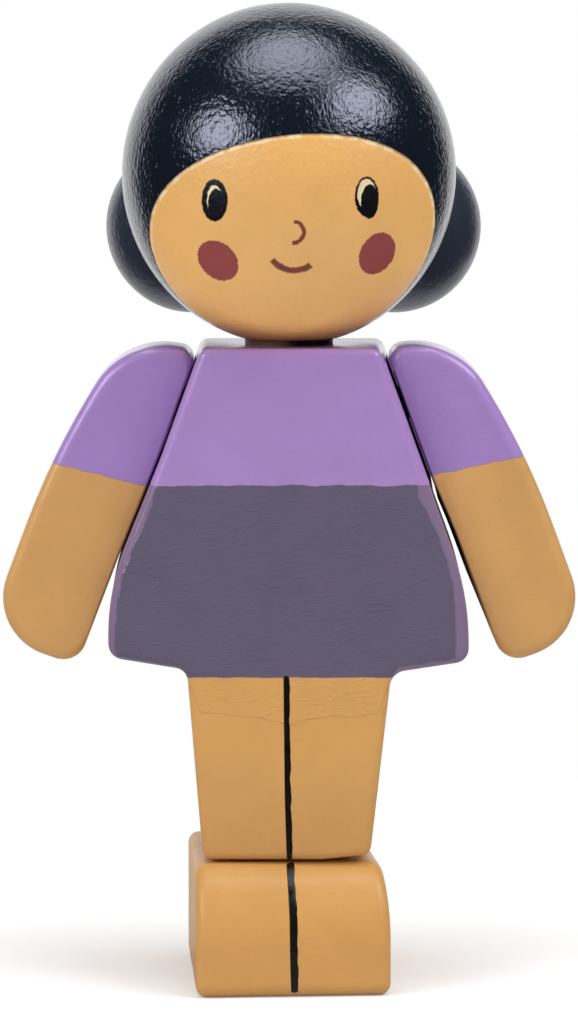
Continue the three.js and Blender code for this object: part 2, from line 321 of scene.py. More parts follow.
rim_edge = add_node(board_rule, "GeometryNodeMeshToCurve", {"Mesh": rim, "Selection": upper_edge})[0]
face = add_node(board_rule, "GeometryNodeFillCurve", {"Curve": rim_edge}, mode="NGONS")[0]
faces = [
    add_node(board_rule, "GeometryNodeTransform", {
        "Geometry": face,
        "Translation": add_node(board_rule, "ShaderNodeCombineXYZ", {"Z": z})[0],
    })[0]
    for z in (top, bottom)
]
board = board_rule.nodes.new("GeometryNodeJoinGeometry")
for part in (rim, *faces):
    board_rule.links.new(part, board.inputs[0])
closed = add_node(
    board_rule, "GeometryNodeMergeByDistance", {"Geometry": board.outputs[0], "Distance": merge_distance},
)[0]
finish_rule(board_rule, closed, given["Paint"])


def new_finish(name):
    """An empty material, with its tree and the place on the piece."""
    material = bpy.data.materials.new(name)
    material.use_nodes = True
    tree = material.node_tree
    tree.nodes.clear()
    return material, tree, add_node(tree, "ShaderNodeTexCoord")["Object"]


def paint_on_beech(
    tree, place, colour, grain, roughness=0.42, varnish=0.15, coats=1.0, specular=0.25, tint=(1, 1, 1, 1),
    wood_shows=0.35, ridge_depth=0.02, peel=1.1, peel_depth=0.02, brushed=0.2, film=0.0,
):
    """Varnished paint on sanded beech. The wood's fibres and open pores still show in the film as
    fine ridges and short pits along the grain. The brush leaves streaks, the film settles into a
    fine orange peel, and it ends in a small step where the film value falls from 1 to 0. Sizes
    and depths are in millimetres, and the streaks' tilt in degrees."""
    fibre_width = 0.22
    fibre_length = 2.4
    pore_width = 0.35
    pore_length = 1.3
    pit_depth = 0.03
    streak_width = 1.0
    streak_length = 2.8
    streak_tilt = 9.0
    streak_depth = 0.055
    patch = 5.0
    patch_depth = 0.12
    film_thickness = 0.05
    # Which share of the noise is pores and streaks, and how far tone and gloss vary
    pore_level = (0.69, 0.79)
    streak_level = (0.52, 0.8)
    streak_wander = 2.2
    pit_darkness = 0.12
    tone_change = 0.04
    gloss_change = 0.05

    def along_grain(width, length):
        per_metre = [1 / ((length if axis == grain else width) * mm) for axis in "XYZ"]
        return add_node(tree, "ShaderNodeMapping", {"Vector": place, "Scale": per_metre})[0]

    fibres = add_node(
        tree, "ShaderNodeTexNoise",
        {"Vector": along_grain(fibre_width, fibre_length), "Scale": 1.0, "Detail": 2.0},
    )["Fac"]
    pores = add_node(
        tree, "ShaderNodeTexNoise",
        {"Vector": along_grain(pore_width, pore_length), "Scale": 1.0, "Detail": 1.0},
    )["Fac"]
    pits = add_node(
        tree, "ShaderNodeMapRange",
        {"Value": pores, "From Min": pore_level[0], "From Max": pore_level[1],
         "To Min": 0.0, "To Max": wood_shows},
    )["Result"]
    stroke_place = add_node(tree, "ShaderNodeMapping", {
        "Vector": place, "Rotation": (0, -math.radians(streak_tilt), 0),
        "Scale": (streak_length * mm, streak_length * mm, streak_width * mm),
    }, vector_type="TEXTURE")[0]
    strokes = add_node(tree, "ShaderNodeTexNoise", {
        "Vector": stroke_place, "Scale": 1.0, "Detail": 1.0, "Distortion": streak_wander,
    })["Fac"]
    streaks = add_node(tree, "ShaderNodeMapRange", {
        "Value": strokes, "From Min": streak_level[0], "From Max": streak_level[1],
    })["Result"]
    dimples = add_node(
        tree, "ShaderNodeTexNoise", {"Vector": place, "Scale": 1 / (peel * mm), "Detail": 1.5},
    )["Fac"]
    patches = add_node(
        tree, "ShaderNodeTexNoise", {"Vector": place, "Scale": 1 / (patch * mm), "Detail": 3.0},
    )["Fac"]
    tone = add_node(
        tree, "ShaderNodeMapRange",
        {"Value": patches, "From Min": 0.25, "From Max": 0.75,
         "To Min": 1 - tone_change, "To Max": 1 + tone_change},
    )["Result"]
    pitted = add_node(
        tree, "ShaderNodeMath", {0: pits, 1: -pit_darkness, 2: tone}, operation="MULTIPLY_ADD",
    )[0]
    shade = add_node(tree, "ShaderNodeHueSaturation", {"Value": pitted, "Color": colour})[0]
    dull = add_node(
        tree, "ShaderNodeMapRange",
        {"Value": fibres, "From Min": 0.3, "From Max": 0.7,
         "To Min": -gloss_change, "To Max": gloss_change},
    )["Result"]
    gloss = add_node(tree, "ShaderNodeMath", {0: dull, 1: roughness}, operation="ADD")[0]
    relief = add_node(tree, "ShaderNodeMath", {0: fibres, 1: wood_shows}, operation="MULTIPLY")[0]
    surface = add_node(tree, "ShaderNodeBump", {"Distance": ridge_depth * mm, "Height": relief})[0]
    strokes_left = add_node(tree, "ShaderNodeMath", {0: streaks, 1: brushed}, operation="MULTIPLY")[0]
    for depth, height in (
        (-pit_depth, pits), (streak_depth, strokes_left), (peel_depth, dimples),
        (patch_depth, patches), (film_thickness, film),
    ):
        surface = add_node(
            tree, "ShaderNodeBump", {"Distance": abs(depth) * mm, "Height": height, "Normal": surface},
            invert=depth < 0,
        )[0]
    shader = add_node(tree, "ShaderNodeBsdfPrincipled", {
        "Base Color": shade, "Roughness": gloss, "Normal": surface, "Specular IOR Level": specular,
        "Specular Tint": tint, "Coat Weight": coats, "Coat Roughness": varnish, "Coat Normal": surface,
    })
    add_node(tree, "ShaderNodeOutputMaterial", {"Surface": shader[0]})


# Satin skin paint: tan under a thin varnish, so the light on it is broad and soft. Its tan is a
# little darker than the upper legs', as painted shade near the floor
skin_paint, tree, place = new_finish("skin_paint")
paint_on_beech(tree, place, linear("#c69252"), "X", varnish=0.25, coats=0.25, specular=0.2)

feet_width_toe = 19.8
feet_width_heel = 18.7
toe_reach = 13.0
heel_reach = 12.6
feet_height = 13.1
feet_corner = 1.3
feet_edge = 1.15
saw_wander = 0.12
toe_curve_length = 5.5
toe_curve_height = 8.5
toe_steps = 14
feet_turn = 4.2
feet_shift = -0.43
# The block's left side leans in towards the top
lean_in = 0.6
lean_in_from = 6.0
toe_curve = []
for step in range(toe_steps + 1):
    angle = math.pi / 2 * (1 + step / toe_steps)
    toe_curve.append((
        toe_curve_length - toe_reach + toe_curve_length * math.cos(angle),
        feet_height - toe_curve_height + toe_curve_height * math.sin(angle), 0.0,
    ))
feet_side = [
    (-toe_reach, 0, feet_corner), (heel_reach, 0, feet_corner),
    (heel_reach, feet_height, feet_corner), *toe_curve,
]
# The outline's X and Y become the block's Y and Z
stand_sideways = Matrix(((0, 0, 1, 0), (1, 0, 0, 0), (0, 1, 0, 0), (0, 0, 0, 1)))
feet = make_piece(
    "feet", outline_blank("feet_outline", feet_side), board_rule, stand_sideways,
    Thickness=feet_width_toe * mm, Edge=feet_edge * mm, Wander=saw_wander * mm, Seed=3.0,
    Paint=skin_paint,
)
for vertex in feet.data.vertices:
    towards_heel = (vertex.co.y / mm + toe_reach) / (toe_reach + heel_reach)
    width = feet_width_toe + (feet_width_heel - feet_width_toe) * towards_heel
    vertex.co.x *= width / feet_width_toe
    if vertex.co.x > 0:
        rise = max(0, (vertex.co.z / mm - lean_in_from) / (feet_height - lean_in_from))
        vertex.co.x -= lean_in * mm * rise ** 2
    vertex.co.z = max(vertex.co.z, 0)
feet_rotation = Matrix.Rotation(math.radians(feet_turn), 4, "Z")
feet.data.transform(Matrix.Translation((feet_shift * mm, 0, 0)) @ feet_rotation)
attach(feet, "body")
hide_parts("feet_block")


# Torso and legs: one piece of 18 mm beech board. The top is brushed lilac and the legs skin
# colour. The skirt has a thin mauve coat all round and a second, darker one on its two faces,
# which stops short of the edges.
body_bottom = 13.35
body_top = 65.35
board_thickness = 18.0
body_edge = 0.85
side_slope = 20.0
skirt_reach = 18.3
shoulder_reach = 9.3
skirt_start = body_top - (skirt_reach - shoulder_reach) / math.tan(math.radians(side_slope))
hem_height = 33.95
# Up the figure's left side, then down its right side. The saw left the two sides a little unlike.
body_outline = [
    (-8.75, body_bottom, 1.1), (3.5, body_bottom, 9.0), (8.27, body_bottom + 0.5, 1.1),
    (10.37, 32.45, 1.7), (skirt_reach + 0.24, hem_height - 0.3, 1.5),
    (skirt_reach + 0.12, skirt_start, 28.0), (shoulder_reach + 0.12, body_top, 1.1),
    (-shoulder_reach + 0.33, body_top, 1.1), (-13.08, 54.07, 40.0), (-18.4, 41.0, 24.0),
    (-skirt_reach - 0.12, hem_height + 0.1, 1.6), (-10.35, 32.75, 1.4),
]
lilac = "#a27fba"
mauve_thin = "#7b6784"
mauve_thick = "#5f566b"
leg_skin = "#cc9856"
shaded_leg_skin = "#bf8c50"
# Satin dress and leg paint: each coat ends in a slightly wavy line, and the dark one is streaky
dress_paint, tree, place = new_finish("dress_and_leg_paint")


def wavy(tree, value, place, reach, length):
    """A paint line's distance with the wobble of a hand-held brush added, all in millimetres."""
    noise = add_node(
        tree, "ShaderNodeTexNoise", {"Vector": place, "Scale": 1 / (length * mm), "Detail": 2.0},
    )["Fac"]
    wobble = add_node(
        tree, "ShaderNodeMapRange",
        {"Value": noise, "From Min": 0.25, "From Max": 0.75, "To Min": -reach * mm, "To Max": reach * mm},
    )["Result"]
    return add_node(tree, "ShaderNodeMath", {0: value, 1: wobble}, operation="ADD")[0]


def painted_side(tree, distance, softness=0.05):
    """1 where a distance is above zero and 0 where it is below, with the paint's soft border."""
    return add_node(tree, "ShaderNodeMapRange", {
        "Value": distance, "From Min": -softness * mm, "From Max": softness * mm,
        "To Min": 0.0, "To Max": 1.0,
    })["Result"]


def over(tree, mask, under, coat):
    """A coat of paint over another, where the mask is 1."""
    return add_node(
        tree, "ShaderNodeMix", {"Factor": mask, "A": under, "B": coat}, data_type="RGBA",
    )["Result"]


x, y, z = add_node(tree, "ShaderNodeSeparateXYZ", {0: place})
waist_height = 51.6
leg_line_height = 32.05
# The dark coat stops this far inside the two sides, whose line bends at the skirt's widest part
panel_inset_left = 1.35
panel_inset_right = 0.9
inset_change = 5.0
side_bend = 1.6
# It stops just above the hem, whose line rises outwards, but runs down to the leg line at the legs
panel_hem = 32.55
panel_hem_from_middle = 8.0
panel_hem_rise = math.tan(math.radians(9))
legs_reach = (9.0, 11.0)
panel_over_legs = 4.0
board_rim = 0.5
# Painted shade: the leg paint is a little darker from the first height down to the second, towards
# the floor
leg_shade_heights = (24.0, 13.0)
from_waist = add_node(tree, "ShaderNodeMath", {0: z, 1: -waist_height * mm}, operation="ADD")[0]
from_leg_line = add_node(tree, "ShaderNodeMath", {0: z, 1: -leg_line_height * mm}, operation="ADD")[0]
sideways = add_node(tree, "ShaderNodeMath", {0: x}, operation="ABSOLUTE")[0]
flare = add_node(tree, "ShaderNodeMath", {
    0: z, 1: -math.tan(math.radians(side_slope)),
    2: (shoulder_reach + body_top * math.tan(math.radians(side_slope))) * mm,
}, operation="MULTIPLY_ADD")[0]
side_edge = add_node(
    tree, "ShaderNodeMath", {0: flare, 1: skirt_reach * mm, 2: side_bend * mm}, operation="SMOOTH_MIN",
)[0]
from_side = add_node(tree, "ShaderNodeMath", {0: side_edge, 1: sideways}, operation="SUBTRACT")[0]
inset = add_node(
    tree, "ShaderNodeMapRange",
    {"Value": x, "From Min": -inset_change * mm, "From Max": inset_change * mm,
     "To Min": -panel_inset_right * mm, "To Max": -panel_inset_left * mm},
)["Result"]
in_panel_side = add_node(tree, "ShaderNodeMath", {0: from_side, 1: inset}, operation="ADD")[0]
hem = add_node(tree, "ShaderNodeMath", {
    0: sideways, 1: panel_hem_rise, 2: (panel_hem - panel_hem_from_middle * panel_hem_rise) * mm,
}, operation="MULTIPLY_ADD")[0]
from_hem = add_node(tree, "ShaderNodeMath", {0: z, 1: hem}, operation="SUBTRACT")[0]
legward = add_node(tree, "ShaderNodeMapRange", {
    "Value": sideways, "From Min": legs_reach[0] * mm, "From Max": legs_reach[1] * mm,
    "To Min": panel_over_legs * mm, "To Max": 0.0,
})["Result"]
from_hem_edge = add_node(tree, "ShaderNodeMath", {0: from_hem, 1: legward}, operation="ADD")[0]
in_panel = add_node(tree, "ShaderNodeMath", {0: in_panel_side, 1: from_hem_edge}, operation="MINIMUM")[0]
face_depth = add_node(tree, "ShaderNodeMath", {0: y}, operation="ABSOLUTE")[0]
on_face = add_node(
    tree, "ShaderNodeMath", {0: face_depth, 1: -(board_thickness / 2 - board_rim) * mm}, operation="ADD",
)[0]
panel_and_face = add_node(tree, "ShaderNodeMath", {
    0: wavy(tree, in_panel, place, reach=0.4, length=3.5), 1: on_face,
}, operation="MINIMUM")[0]
panel = painted_side(tree, panel_and_face, softness=0.09)
skirt = over(tree, panel, linear(mauve_thin), linear(mauve_thick))
# Painted shade on the legs, darker towards the floor
leg_shade = add_node(tree, "ShaderNodeMapRange", {
    "Value": z, "From Min": leg_shade_heights[0] * mm, "From Max": leg_shade_heights[1] * mm,
})["Result"]
legs = over(tree, leg_shade, linear(leg_skin), linear(shaded_leg_skin))
above_leg_line = painted_side(tree, wavy(tree, from_leg_line, place, reach=0.07, length=2.0))
lower = over(tree, above_leg_line, legs, skirt)
above_waist = painted_side(tree, wavy(tree, from_waist, place, reach=0.12, length=2.5))
dress = over(tree, above_waist, lower, linear(lilac))
below_waist = add_node(tree, "ShaderNodeMath", {0: 1.0, 1: above_waist}, operation="SUBTRACT")[0]
second_coat = add_node(tree, "ShaderNodeMath", {0: panel, 1: below_waist}, operation="MULTIPLY")[0]
streaked = add_node(
    tree, "ShaderNodeMapRange", {"Value": second_coat, "To Min": 0.1, "To Max": 1.0},
)["Result"]
# The arms rub on the two sides between these heights, short of the board's edges
rubbed_from = 41.0
rubbed_to = body_top - 1.5
rubbed_depth = 8.0
rubbed_inset = 0.5
beside_arm = add_node(tree, "ShaderNodeMath", {0: z, 1: -rubbed_from * mm}, operation="ADD")[0]
off_edges = add_node(tree, "ShaderNodeMath", {0: rubbed_depth * mm, 1: face_depth}, operation="SUBTRACT")[0]
on_side = add_node(tree, "ShaderNodeMath", {0: rubbed_inset * mm, 1: from_side}, operation="SUBTRACT")[0]
below_top = add_node(tree, "ShaderNodeMath", {0: rubbed_to * mm, 1: z}, operation="SUBTRACT")[0]
rubbed = add_node(tree, "ShaderNodeMath", {
    0: add_node(tree, "ShaderNodeMath", {0: beside_arm, 1: off_edges}, operation="MINIMUM")[0],
    1: add_node(tree, "ShaderNodeMath", {0: on_side, 1: below_top}, operation="MINIMUM")[0],
}, operation="MINIMUM")[0]


def shine_left(tree, rubbed):
    """How much varnish and shine the paint keeps, where a mask says how rubbed it is."""
    varnished = add_node(tree, "ShaderNodeMath", {0: 1.0, 1: rubbed}, operation="SUBTRACT")[0]
    shine = add_node(
        tree, "ShaderNodeMapRange", {"Value": varnished, "To Min": 0.0, "To Max": 0.25},
    )["Result"]
    return {"coats": varnished, "specular": shine}


dull_sides = shine_left(tree, painted_side(tree, rubbed))
paint_on_beech(tree, place, dress, "X", **dull_sides, brushed=streaked, film=second_coat)

# The outline's X and Y become the board's X and Z
stand_up = Matrix.Rotation(math.pi / 2, 4, "X")
torso = make_piece(
    "torso", outline_blank("body_outline", body_outline), board_rule, stand_up,
    Thickness=board_thickness * mm, Edge=body_edge * mm, Paint=dress_paint,
)


def ramp(value, start, end):
    """How far a value has come from start to end, between 0 and 1."""
    return max(0, min(1, (value - start) / (end - start)))


# The blade leaned, so the sides of the dress stand further out at the back. The lean is in
# millimetres across for each millimetre of depth. It starts above the legs and fades out near the
# middle. On the figure's left it is only slight below the waist, and ends short of the back.
lean_left = 0.036
lean_right = 0.015
lean_start = 32.4
lean_full = 33.4
lean_reach = 6.0
little_lean_below = 48.8
full_lean_above = 51.3
little_lean = 0.25
last_lean_depth = 5.0
half_board = board_thickness / 2 * mm
for vertex in torso.data.vertices:
    height = vertex.co.z / mm
    across = max(-1, min(1, vertex.co.x / (lean_reach * mm)))
    share = ramp(height, lean_start, lean_full)
    lean = across * share * lean_right * vertex.co.y
    if across > 0:
        leaning = max(little_lean, ramp(height, little_lean_below, full_lean_above))
        behind_front = min(vertex.co.y, last_lean_depth * mm) + half_board
        lean = across * share * lean_left * (leaning * behind_front - half_board)
    vertex.co.x += lean
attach(torso, "body")
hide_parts("torso_and_legs")


# The line between the legs and between the feet: black enamel, drawn in two strokes with a fine
# brush. It stands a few hundredths of a millimetre proud, with round ends and an unsteady width.
stroke_rule, given = new_rule("brush_stroke", {
    "Path": "Geometry", "Wood": "Object", "Width": "Float", "Film": "Float", "Wobble": "Float",
    "Seed": "Float", "Paint": "Material",
}, "Stroke")
stroke_spacing = 0.12 * mm
stroke_sides = 14
brush_turn = 1.6 * mm
round_end = 0.15 * mm
thinnest = 0.62
thickest = 1.38
drawn = add_node(stroke_rule, "GeometryNodeMeshToCurve", {"Mesh": given["Path"]})[0]
fine = add_node(
    stroke_rule, "GeometryNodeResampleCurve", {"Curve": drawn, "Length": stroke_spacing}, mode="LENGTH",
)[0]
spot = add_node(stroke_rule, "GeometryNodeInputPosition")[0]
shake = add_node(
    stroke_rule, "ShaderNodeTexNoise",
    {"Vector": spot, "W": given["Seed"], "Scale": 1 / brush_turn, "Detail": 1.5}, noise_dimensions="4D",
)
shaken = add_node(
    stroke_rule, "ShaderNodeMapRange", {"Value": shake["Fac"], "To Min": -1.0, "To Max": 1.0},
)["Result"]
across = add_node(stroke_rule, "ShaderNodeMath", {0: shaken, 1: given["Wobble"]}, operation="MULTIPLY")[0]
aside = add_node(stroke_rule, "ShaderNodeCombineXYZ", {"X": across})[0]
unsteady = add_node(stroke_rule, "GeometryNodeSetPosition", {"Geometry": fine, "Offset": aside})[0]
facing = add_node(
    stroke_rule, "GeometryNodeSetCurveNormal", {"Curve": unsteady, "Normal": (0, -1, 0)}, mode="FREE",
)[0]
drawn_length = add_node(stroke_rule, "GeometryNodeSplineParameter")
whole = add_node(stroke_rule, "GeometryNodeSplineLength")["Length"]
to_end = add_node(
    stroke_rule, "ShaderNodeMath", {0: whole, 1: drawn_length["Length"]}, operation="SUBTRACT",
)[0]
nearest_end = add_node(
    stroke_rule, "ShaderNodeMath", {0: drawn_length["Length"], 1: to_end}, operation="MINIMUM",
)[0]
lifted = add_node(
    stroke_rule, "ShaderNodeMapRange",
    {"Value": nearest_end, "From Max": round_end, "To Min": 0.0, "To Max": 1.0},
)["Result"]
end_round = add_node(stroke_rule, "ShaderNodeMath", {0: lifted, 1: 0.5}, operation="POWER")[0]
swell = add_node(
    stroke_rule, "ShaderNodeMapRange", {"Value": shake["Fac"], "To Min": thinnest, "To Max": thickest},
)["Result"]
pressed = add_node(stroke_rule, "ShaderNodeMath", {0: end_round, 1: swell}, operation="MULTIPLY")[0]
half_width = add_node(stroke_rule, "ShaderNodeMath", {0: given["Width"], 1: 0.5}, operation="MULTIPLY")[0]
section = add_node(
    stroke_rule, "GeometryNodeCurvePrimitiveCircle", {"Resolution": stroke_sides, "Radius": 1.0},
)[0]
film_size = add_node(
    stroke_rule, "ShaderNodeCombineXYZ", {"X": given["Film"], "Y": half_width, "Z": 1.0},
)[0]
film = add_node(stroke_rule, "GeometryNodeTransform", {"Geometry": section, "Scale": film_size})[0]
bead = add_node(
    stroke_rule, "GeometryNodeCurveToMesh",
    {"Curve": facing, "Profile Curve": film, "Scale": pressed, "Fill Caps": True},
)[0]
bx, by, bz = add_node(stroke_rule, "ShaderNodeSeparateXYZ", {0: spot})
before = add_node(stroke_rule, "ShaderNodeCombineXYZ", {"X": bx, "Y": -camera_distance / 2, "Z": bz})[0]
proud = add_node(stroke_rule, "ShaderNodeMath", {0: by, 1: -1.0}, operation="MULTIPLY")[0]
wood = add_node(stroke_rule, "GeometryNodeObjectInfo", {"Object": given["Wood"]})["Geometry"]
landed = add_node(stroke_rule, "GeometryNodeRaycast", {
    "Target Geometry": wood, "Source Position": before, "Ray Direction": (0, 1, 0),
    "Ray Length": camera_distance,
})
raised = add_node(
    stroke_rule, "ShaderNodeVectorMath", {0: landed["Hit Normal"], "Scale": proud}, operation="SCALE",
)[0]
settled = add_node(
    stroke_rule, "ShaderNodeVectorMath", {0: landed["Hit Position"], 1: raised}, operation="ADD",
)[0]
laid = add_node(
    stroke_rule, "GeometryNodeSetPosition",
    {"Geometry": bead, "Selection": landed["Is Hit"], "Position": settled},
)[0]
finish_rule(stroke_rule, laid, given["Paint"])


def unvarnished(tree, colour, roughness, relief, depth):
    """Ends a material that has no varnish over it. The relief's depth is in millimetres."""
    uneven = add_node(tree, "ShaderNodeBump", {"Distance": depth * mm, "Height": relief})[0]
    shader = add_node(tree, "ShaderNodeBsdfPrincipled", {
        "Base Color": colour, "Roughness": roughness, "Normal": uneven,
    })[0]
    add_node(tree, "ShaderNodeOutputMaterial", {"Surface": shader})


# Black enamel: warm black and thin, with a sheen that breaks up where the brush left less of it
black_enamel, tree, place = new_finish("black_enamel")
flow_length = 0.9
flow = add_node(tree, "ShaderNodeTexNoise", {
    "Vector": place, "Scale": 1 / (flow_length * mm), "Detail": 2.0,
})["Fac"]
sheen = add_node(
    tree, "ShaderNodeMapRange",
    {"Value": flow, "From Min": 0.3, "From Max": 0.7, "To Min": 0.22, "To Max": 0.42},
)["Result"]
ink = over(tree, flow, linear("#0b0905"), linear("#171309"))
unvarnished(tree, ink, sheen, flow, depth=0.05)

# Each stroke: the piece it is on, its points as x and z from top to bottom, its width and its seed
film_height = 0.05
stroke_wobble = 0.12
strokes = {
    "leg_line": (torso, [(-0.25, 32.3), (-0.2, 27.0), (-0.12, 20.0), (0.08, 13.38)], 0.64, 5.0),
    "foot_line": (feet, [(0.12, 13.098), (0.3, 10.5), (0.45, 8.0), (0.5, 4.0), (0.6, 0.45)], 0.8, 9.0),
}
for name, (wood_piece, points, width, seed) in strokes.items():
    drawing = bpy.data.meshes.new(name)
    drawing.from_pydata(
        [(px * mm, 0, pz * mm) for px, pz in points], [(i, i + 1) for i in range(len(points) - 1)], [],
    )
    stroke = make_piece(
        name, drawing, stroke_rule, Wood=wood_piece, Width=width * mm, Film=film_height * mm,
        Wobble=stroke_wobble * mm, Seed=seed, Paint=black_enamel,
    )
    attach(stroke, "body")


# Dowels and pegs: turned beech. The neck dowel, glued in the torso, and the two shoulder pegs are
# oiled brown with painted shade, near-black on the figure's left side, so they show dark in the
# gaps. The other dowels are bare, and hidden in their joints. All but the neck keep the model's own
# shapes.

# Bare beech: dry and pale, with fine darker grain
beech, tree, place = new_finish("bare_beech")
grain_width = 0.25
grain_length = 3.0
grown = add_node(tree, "ShaderNodeMapping", {
    "Vector": place, "Scale": (1 / (grain_width * mm), 1 / (grain_width * mm), 1 / (grain_length * mm)),
})[0]
figure = add_node(tree, "ShaderNodeTexNoise", {"Vector": grown, "Scale": 1.0, "Detail": 3.0})["Fac"]
wood_colour = over(tree, figure, linear("#a8764a"), linear("#d0a274"))
dry = add_node(
    tree, "ShaderNodeMapRange",
    {"Value": figure, "From Min": 0.3, "From Max": 0.7, "To Min": 0.55, "To Max": 0.75},
)["Result"]
unvarnished(tree, wood_colour, dry, figure, depth=0.03)

# The rule for every turned piece: a half profile spun round Z, with the slight unevenness of
# sanding by hand. The profile is x and z, from the axis at the bottom to the axis at the top.
turned_rule, given = new_rule("turned_on_a_lathe", {
    "Profile": "Geometry", "Sides": "Int", "Uneven": "Float", "Seed": "Float", "Paint": "Material",
}, "Turned piece")
swing = 100 * mm
uneven_length = 11 * mm
pole_merge = 0.002 * mm
profile = add_node(turned_rule, "GeometryNodeMeshToCurve", {"Mesh": given["Profile"]})[0]
offset_profile = add_node(
    turned_rule, "GeometryNodeTransform",
    {"Geometry": profile, "Translation": (-swing, 0, 0), "Scale": (1, -1, 1)},
)[0]
circle = add_node(
    turned_rule, "GeometryNodeCurvePrimitiveCircle", {"Resolution": given["Sides"], "Radius": swing},
)[0]
around = add_node(turned_rule, "GeometryNodeSetCurveNormal", {"Curve": circle}, mode="Z_UP")[0]
spun = add_node(
    turned_rule, "GeometryNodeCurveToMesh", {"Curve": around, "Profile Curve": offset_profile},
)[0]
whole_piece = add_node(
    turned_rule, "GeometryNodeMergeByDistance", {"Geometry": spun, "Distance": pole_merge},
)[0]
spot = add_node(turned_rule, "GeometryNodeInputPosition")[0]
hollow = add_node(
    turned_rule, "ShaderNodeTexNoise",
    {"Vector": spot, "W": given["Seed"], "Scale": 1 / uneven_length, "Detail": 1.0}, noise_dimensions="4D",
)["Fac"]
sanding = add_node(
    turned_rule, "ShaderNodeMapRange", {"Value": hollow, "To Min": -1.0, "To Max": 1.0},
)["Result"]
sanded_by = add_node(
    turned_rule, "ShaderNodeMath", {0: sanding, 1: given["Uneven"]}, operation="MULTIPLY",
)[0]
out_from = add_node(turned_rule, "GeometryNodeInputNormal")["Normal"]
moved = add_node(
    turned_rule, "ShaderNodeVectorMath", {0: out_from, "Scale": sanded_by}, operation="SCALE",
)[0]
hand_sanded = add_node(
    turned_rule, "GeometryNodeSetPosition", {"Geometry": whole_piece, "Offset": moved},
)[0]
finish_rule(turned_rule, hand_sanded, given["Paint"])


def profile_blank(name, points):
    """A half profile in XY, each point as its radius and height in millimetres."""
    blank = bpy.data.meshes.new(name)
    blank.from_pydata(
        [(radius * mm, up * mm, 0) for radius, up in points],
        [(i, i + 1) for i in range(len(points) - 1)], [],
    )
    return blank


def rounded_rod(radius, low, high, rounding=0.4, steps=5):
    """The half profile of a rod with its two rims rounded over."""
    rim = [
        (radius - rounding + rounding * math.sin(turn), rounding - rounding * math.cos(turn))
        for turn in (math.pi / 2 * i / steps for i in range(steps + 1))
    ]
    return [
        (0, low), *[(r, low + up) for r, up in rim], *[(r, high - up) for r, up in reversed(rim)], (0, high),
    ]


# Oiled beech: satin brown and cloudy, darkened as painted shade, and near-black on the figure's left
# side as painted shade
neck_finish, tree, place = new_finish("oiled_beech_with_lacquer_run")
x = add_node(tree, "ShaderNodeSeparateXYZ", {0: place})["X"]
cloud_length = 0.5
clouds = add_node(tree, "ShaderNodeTexNoise", {
    "Vector": place, "Scale": 1 / (cloud_length * mm), "Detail": 3.0,
})["Fac"]
oiled = over(tree, clouds, linear("#563623"), linear("#7a5236"))
# Painted shade: near-black on the figure's left side, where x is above zero
shaded_side = painted_side(tree, wavy(tree, x, place, reach=0.6, length=1.5), softness=0.5)
neck_colour = over(tree, shaded_side, oiled, linear("#0d0a0d"))
satin = add_node(tree, "ShaderNodeMapRange", {"Value": clouds, "To Min": 0.4, "To Max": 0.6})["Result"]
unvarnished(tree, neck_colour, satin, clouds, depth=0.03)

neck_radius = 4.5
neck_below_top = 7.0
neck_above_top = 14.0
neck_profile = rounded_rod(neck_radius, body_top - neck_below_top, body_top + neck_above_top)
neck = make_piece(
    "neck", profile_blank("neck_profile", neck_profile), turned_rule, Sides=64, Paint=neck_finish,
)
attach(neck, "body")
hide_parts("neck_dowel")
for kind, finish in (("foot_dowel", beech), ("bun_dowel", beech), ("shoulder_peg", neck_finish)):
    for side in ("left", "right"):
        node_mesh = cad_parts[f"{kind}_{side}"].data
        node_mesh.materials.clear()
        node_mesh.materials.append(finish)


# Arms: sawn from 10 mm board with a round shoulder and a rounded hand, hung on pegs square to the
# torso's sloping sides. A lilac sleeve is brushed on above the skin colour.
arm_length = 34.3
arm_width = 9.9
arm_thickness = 10.0
arm_drop = 0.45
arm_gap = 0.45
elbow_from_top = 15.1
shoulder_slope = math.tan(math.radians(12))
shoulder_taper = math.tan(math.radians(11.5))
shoulder_width = (arm_width - elbow_from_top * shoulder_taper) / (1 - shoulder_taper * shoulder_slope)
slope = math.radians(side_slope)
outward = Vector((math.cos(slope), 0, math.sin(slope)))
downward = Vector((math.sin(slope), 0, -math.cos(slope)))
arm_top = Vector((shoulder_reach, 0, body_top)) + arm_gap * outward + arm_drop * downward
arm_place = Matrix.Translation(arm_top * mm) @ Matrix((
    (outward.x, 0, -downward.x, 0), (0, 1, 0, 0), (outward.z, 0, -downward.z, 0), (0, 0, 0, 1),
)) @ stand_up
# Each arm: its side of the figure, the sleeve end's height at the figure's middle and its slope
# outwards, how far it is out of square below the elbow, how strong its painted light and painted
# shade beside the torso are, and how much slimmer its shoulder is
arms = {"left": (1, 49.35, 0.2, 0.034, 1.0, 0.08), "right": (-1, 47.24, 0.264, 0.0, 0.4, 0.24)}
# The inner face, as how full it is at each distance from the top
inner_faces = {
    "left": [(0.163, 0), (0.163, 14.5), (-0.05, 18), (-0.14, 20), (-0.32, 34.5)],
    "right": [(0.62, 0), (0.62, 11), (0.45, 17), (0.25, 22), (0.05, 34.5)],
}
inner_roundings = (1.4, 9.0, 9.0, 9.0, 2.4)
hand_rounding = 6.2
hand_slant = 0.35
elbow_rounding = 78.0
shoulder_rounding = 8.0
arm_edge = 1.15
# The inner face's long edges are this crisp. Their edge starts and ends at these distances down.
inner_edge = 0.35
crisp_start = (1.0, 2.5)
crisp_end = (33.0, 31.0)
# Where the inner face goes out of square and comes back, as distances down
askew_start = (15.0, 17.0)
askew_end = (36.0, 25.0)
# Painted light goes this far out from the torso, where it shades the arm, from the first height up
# to the second
sheltered_depth = 7.0
sheltered_heights = (34.0, 45.0)
